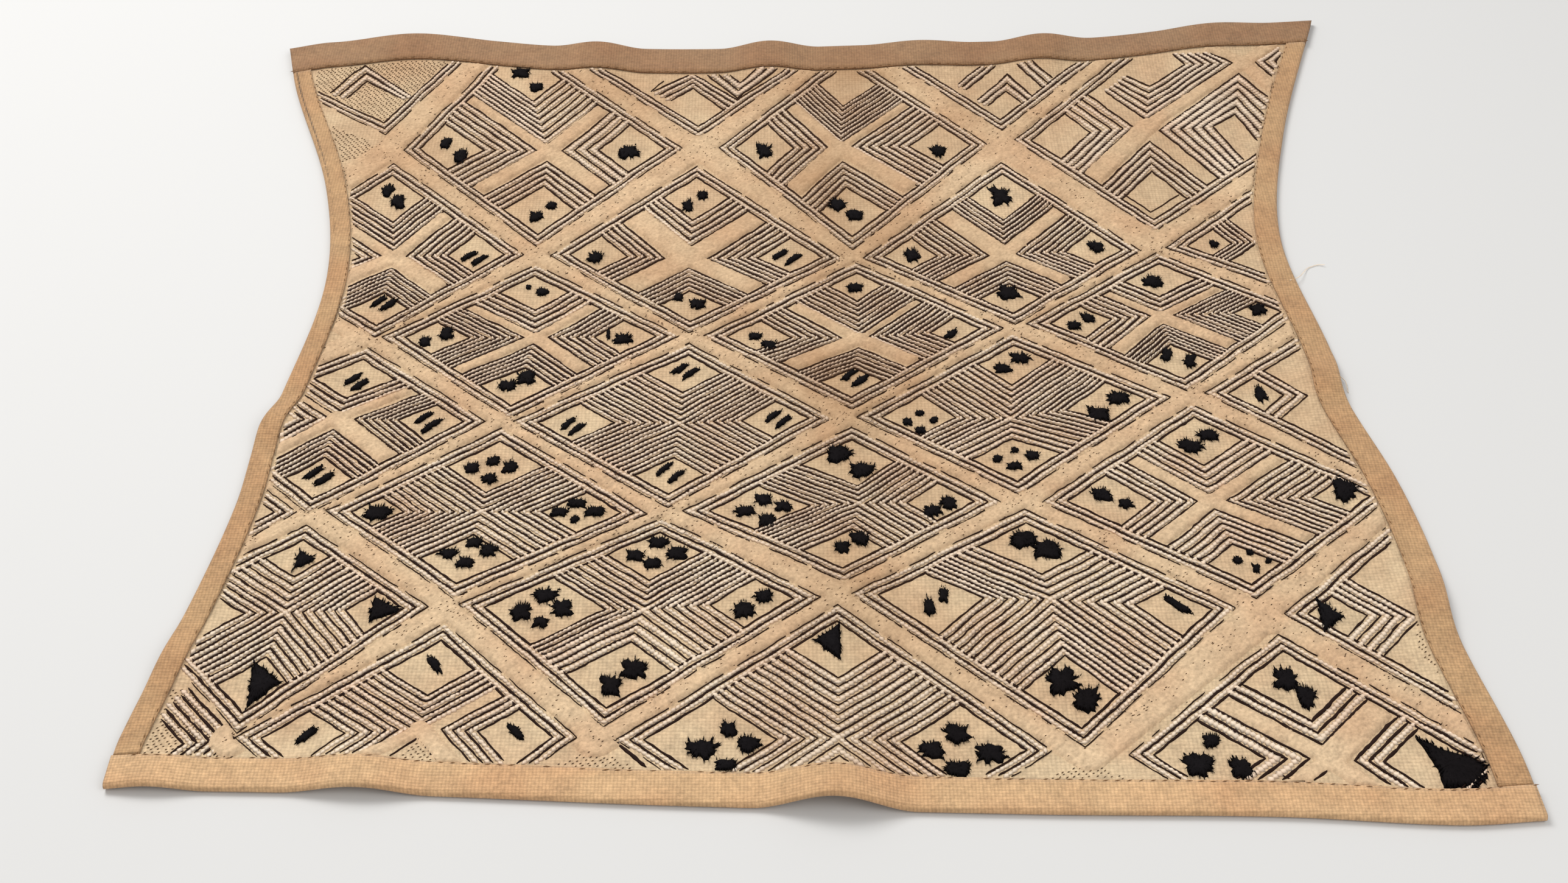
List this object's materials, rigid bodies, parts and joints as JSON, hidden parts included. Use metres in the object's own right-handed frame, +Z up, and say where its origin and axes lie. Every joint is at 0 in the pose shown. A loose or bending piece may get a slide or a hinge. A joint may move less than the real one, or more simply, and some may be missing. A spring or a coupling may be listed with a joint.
{
  "type": "kuba raffia cloth",
  "caption": "Flat embroidered raffia cloth with a diamond lattice of pile and cords, bound by plain folded strips.",
  "frame": {"origin": "on the surface the cloth lies on, under the middle of its outline", "axes": "+X to the right, +Y from the near edge to the far edge, +Z up from the surface"},
  "size_m": [0.649, 0.6334, 0.0131],
  "materials": {
    "embroidered_raffia": "matt woven raffia with cut pile, cream cords and black-brown stitched lines",
    "plain_raffia": "matt, finely ribbed plain raffia weave, tan and a little worn"
  },
  "bodies": {
    "root": {"panel": "embroidered_raffia", "near_strip": "plain_raffia", "far_strip": "plain_raffia", "left_strip": "plain_raffia", "right_strip": "plain_raffia"}
  },
  "joints": []
}
